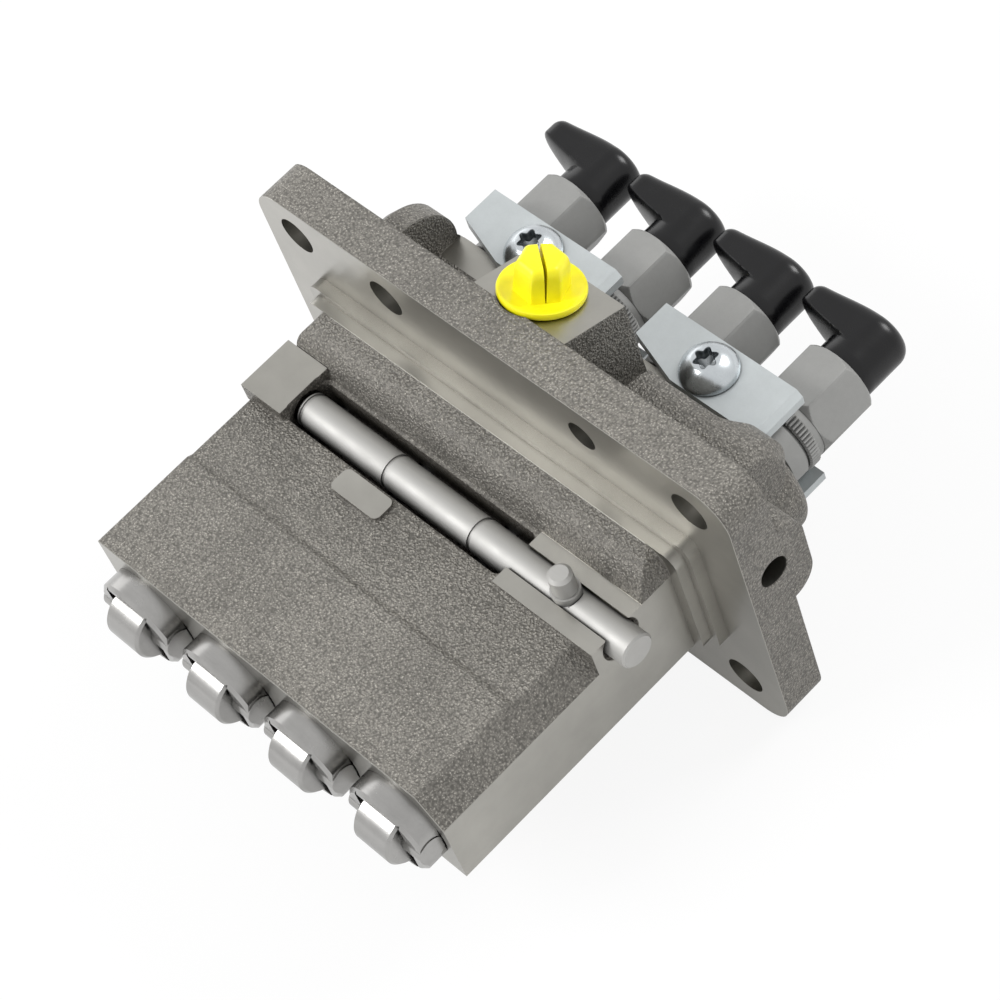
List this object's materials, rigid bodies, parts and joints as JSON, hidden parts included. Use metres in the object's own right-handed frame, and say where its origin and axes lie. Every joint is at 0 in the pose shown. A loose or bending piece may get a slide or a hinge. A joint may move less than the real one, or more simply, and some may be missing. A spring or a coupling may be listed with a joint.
{
  "type": "diesel injection pump",
  "caption": "In-line diesel injection pump: flange-mounted casting with roller tappets, sliding control rod, capped hexagonal delivery unions and a plugged sloping inlet.",
  "frame": {"origin": "Middle of the plunger row, on the mounting flange's seat face and in the plane of the plunger axes.", "axes": "X runs along the row of plungers, Y along the plungers from the roller tappets to the delivery unions, Z out of the side with the control rod."},
  "size_m": [0.1324, 0.1478, 0.0858],
  "materials": {
    "housing_casting": "sand-cast, grey-brown, seats and pilot machined bright",
    "hardened_steel": "ground and hardened",
    "polished_steel": "polished, slightly blue",
    "ground_steel": "ground, satin",
    "phosphated_steel": "phosphated, matt grey",
    "zinc_plate": "zinc plated, pale blue, smooth",
    "bright_zinc": "bright zinc plated",
    "spring_steel": "shot-peened spring wire",
    "black_plastic": "soft black plastic with a faint sheen",
    "yellow_plastic": "bright yellow moulded plastic",
    "black_rubber": "matt black"
  },
  "bodies": {
    "pump": {"housing": "housing_casting", "barrels": "hardened_steel", "valve_seats": "hardened_steel", "upper_spring_seats": "hardened_steel", "tappet_guide_pins": "hardened_steel", "union_sealing_rings": "black_rubber", "lock_plate_front_1": "zinc_plate", "lock_plate_front_2": "zinc_plate", "lock_plate_back_1": "zinc_plate", "lock_plate_back_2": "zinc_plate", "lock_screws": "bright_zinc", "delivery_union_1": "phosphated_steel", "delivery_union_2": "phosphated_steel", "delivery_union_3": "phosphated_steel", "delivery_union_4": "phosphated_steel"},
    "rod": {"control_rod": "ground_steel", "lever_pin": "ground_steel"},
    "plug": {"inlet_plug": "yellow_plastic"},
    "sleeve_1": {"control_sleeve_1": "hardened_steel"},
    "tappet_set_1": {"tappet_1": "polished_steel", "roller_pin_1": "polished_steel", "lower_spring_seat_1": "hardened_steel", "plunger_spring_1": "spring_steel"},
    "roller_set_1": {"roller_1": "polished_steel"},
    "plunger_set_1": {"plunger_1": "hardened_steel"},
    "valve_set_1": {"delivery_valve_1": "hardened_steel", "delivery_spring_1": "spring_steel"},
    "cap_set_1": {"cap_1": "black_plastic"},
    "sleeve_2": {"control_sleeve_2": "hardened_steel"},
    "tappet_set_2": {"tappet_2": "polished_steel", "roller_pin_2": "polished_steel", "lower_spring_seat_2": "hardened_steel", "plunger_spring_2": "spring_steel"},
    "roller_set_2": {"roller_2": "polished_steel"},
    "plunger_set_2": {"plunger_2": "hardened_steel"},
    "valve_set_2": {"delivery_valve_2": "hardened_steel", "delivery_spring_2": "spring_steel"},
    "cap_set_2": {"cap_2": "black_plastic"},
    "sleeve_3": {"control_sleeve_3": "hardened_steel"},
    "tappet_set_3": {"tappet_3": "polished_steel", "roller_pin_3": "polished_steel", "lower_spring_seat_3": "hardened_steel", "plunger_spring_3": "spring_steel"},
    "roller_set_3": {"roller_3": "polished_steel"},
    "plunger_set_3": {"plunger_3": "hardened_steel"},
    "valve_set_3": {"delivery_valve_3": "hardened_steel", "delivery_spring_3": "spring_steel"},
    "cap_set_3": {"cap_3": "black_plastic"},
    "sleeve_4": {"control_sleeve_4": "hardened_steel"},
    "tappet_set_4": {"tappet_4": "polished_steel", "roller_pin_4": "polished_steel", "lower_spring_seat_4": "hardened_steel", "plunger_spring_4": "spring_steel"},
    "roller_set_4": {"roller_4": "polished_steel"},
    "plunger_set_4": {"plunger_4": "hardened_steel"},
    "valve_set_4": {"delivery_valve_4": "hardened_steel", "delivery_spring_4": "spring_steel"},
    "cap_set_4": {"cap_4": "black_plastic"}
  },
  "joints": [
    {"name": "rod_slide", "type": "slide", "parent": "pump", "child": "rod", "axis": [1, 0, 0], "range_m": [-0.0026, 0.005]},
    {"name": "plug_pull", "type": "slide", "parent": "pump", "child": "plug", "axis": [0, 0.3156, 0.9489], "range_m": [0, 0.02]},
    {"name": "sleeve_turn_1", "type": "hinge", "parent": "pump", "child": "sleeve_1", "pos_m": [-0.0375, -0.0202, 0], "axis": [0, 1, 0], "range_deg": [-21.48, 41.13]},
    {"name": "tappet_slide_1", "type": "slide", "parent": "pump", "child": "tappet_set_1", "axis": [0, 1, 0], "range_m": [0, 0.007], "stiffness_N_per_m": 1500, "springref_m": -0.004, "deforming": ["plunger_spring_1"]},
    {"name": "roller_spin_1", "type": "hinge", "parent": "tappet_set_1", "child": "roller_set_1", "pos_m": [-0.0375, -0.073, 0], "axis": [1, 0, 0], "continuous": true},
    {"name": "plunger_turn_1", "type": "hinge", "parent": "tappet_set_1", "child": "plunger_set_1", "pos_m": [-0.0375, -0.05, 0], "axis": [0, 1, 0], "range_deg": [-21.48, 41.13]},
    {"name": "valve_lift_1", "type": "slide", "parent": "pump", "child": "valve_set_1", "axis": [0, 1, 0], "range_m": [0, 0.0015], "stiffness_N_per_m": 400, "springref_m": -0.002, "deforming": ["delivery_spring_1"]},
    {"name": "cap_pull_1", "type": "slide", "parent": "pump", "child": "cap_set_1", "axis": [0, 1, 0], "range_m": [0, 0.02]},
    {"name": "sleeve_turn_2", "type": "hinge", "parent": "pump", "child": "sleeve_2", "pos_m": [-0.0125, -0.0202, 0], "axis": [0, 1, 0], "range_deg": [-21.48, 41.13]},
    {"name": "tappet_slide_2", "type": "slide", "parent": "pump", "child": "tappet_set_2", "axis": [0, 1, 0], "range_m": [0, 0.007], "stiffness_N_per_m": 1500, "springref_m": -0.004, "deforming": ["plunger_spring_2"]},
    {"name": "roller_spin_2", "type": "hinge", "parent": "tappet_set_2", "child": "roller_set_2", "pos_m": [-0.0125, -0.073, 0], "axis": [1, 0, 0], "continuous": true},
    {"name": "plunger_turn_2", "type": "hinge", "parent": "tappet_set_2", "child": "plunger_set_2", "pos_m": [-0.0125, -0.05, 0], "axis": [0, 1, 0], "range_deg": [-21.48, 41.13]},
    {"name": "valve_lift_2", "type": "slide", "parent": "pump", "child": "valve_set_2", "axis": [0, 1, 0], "range_m": [0, 0.0015], "stiffness_N_per_m": 400, "springref_m": -0.002, "deforming": ["delivery_spring_2"]},
    {"name": "cap_pull_2", "type": "slide", "parent": "pump", "child": "cap_set_2", "axis": [0, 1, 0], "range_m": [0, 0.02]},
    {"name": "sleeve_turn_3", "type": "hinge", "parent": "pump", "child": "sleeve_3", "pos_m": [0.0125, -0.0202, 0], "axis": [0, 1, 0], "range_deg": [-21.48, 41.13]},
    {"name": "tappet_slide_3", "type": "slide", "parent": "pump", "child": "tappet_set_3", "axis": [0, 1, 0], "range_m": [0, 0.007], "stiffness_N_per_m": 1500, "springref_m": -0.004, "deforming": ["plunger_spring_3"]},
    {"name": "roller_spin_3", "type": "hinge", "parent": "tappet_set_3", "child": "roller_set_3", "pos_m": [0.0125, -0.073, 0], "axis": [1, 0, 0], "continuous": true},
    {"name": "plunger_turn_3", "type": "hinge", "parent": "tappet_set_3", "child": "plunger_set_3", "pos_m": [0.0125, -0.05, 0], "axis": [0, 1, 0], "range_deg": [-21.48, 41.13]},
    {"name": "valve_lift_3", "type": "slide", "parent": "pump", "child": "valve_set_3", "axis": [0, 1, 0], "range_m": [0, 0.0015], "stiffness_N_per_m": 400, "springref_m": -0.002, "deforming": ["delivery_spring_3"]},
    {"name": "cap_pull_3", "type": "slide", "parent": "pump", "child": "cap_set_3", "axis": [0, 1, 0], "range_m": [0, 0.02]},
    {"name": "sleeve_turn_4", "type": "hinge", "parent": "pump", "child": "sleeve_4", "pos_m": [0.0375, -0.0202, 0], "axis": [0, 1, 0], "range_deg": [-21.48, 41.13]},
    {"name": "tappet_slide_4", "type": "slide", "parent": "pump", "child": "tappet_set_4", "axis": [0, 1, 0], "range_m": [0, 0.007], "stiffness_N_per_m": 1500, "springref_m": -0.004, "deforming": ["plunger_spring_4"]},
    {"name": "roller_spin_4", "type": "hinge", "parent": "tappet_set_4", "child": "roller_set_4", "pos_m": [0.0375, -0.073, 0], "axis": [1, 0, 0], "continuous": true},
    {"name": "plunger_turn_4", "type": "hinge", "parent": "tappet_set_4", "child": "plunger_set_4", "pos_m": [0.0375, -0.05, 0], "axis": [0, 1, 0], "range_deg": [-21.48, 41.13]},
    {"name": "valve_lift_4", "type": "slide", "parent": "pump", "child": "valve_set_4", "axis": [0, 1, 0], "range_m": [0, 0.0015], "stiffness_N_per_m": 400, "springref_m": -0.002, "deforming": ["delivery_spring_4"]},
    {"name": "cap_pull_4", "type": "slide", "parent": "pump", "child": "cap_set_4", "axis": [0, 1, 0], "range_m": [0, 0.02]}
  ],
  "couplings": [
    {"joint": "sleeve_turn_1", "follows": "rod_slide", "rad_per_m": 142.86},
    {"joint": "plunger_turn_1", "follows": "rod_slide", "rad_per_m": 142.86},
    {"joint": "sleeve_turn_2", "follows": "rod_slide", "rad_per_m": 142.86},
    {"joint": "plunger_turn_2", "follows": "rod_slide", "rad_per_m": 142.86},
    {"joint": "sleeve_turn_3", "follows": "rod_slide", "rad_per_m": 142.86},
    {"joint": "plunger_turn_3", "follows": "rod_slide", "rad_per_m": 142.86},
    {"joint": "sleeve_turn_4", "follows": "rod_slide", "rad_per_m": 142.86},
    {"joint": "plunger_turn_4", "follows": "rod_slide", "rad_per_m": 142.86}
  ]
}
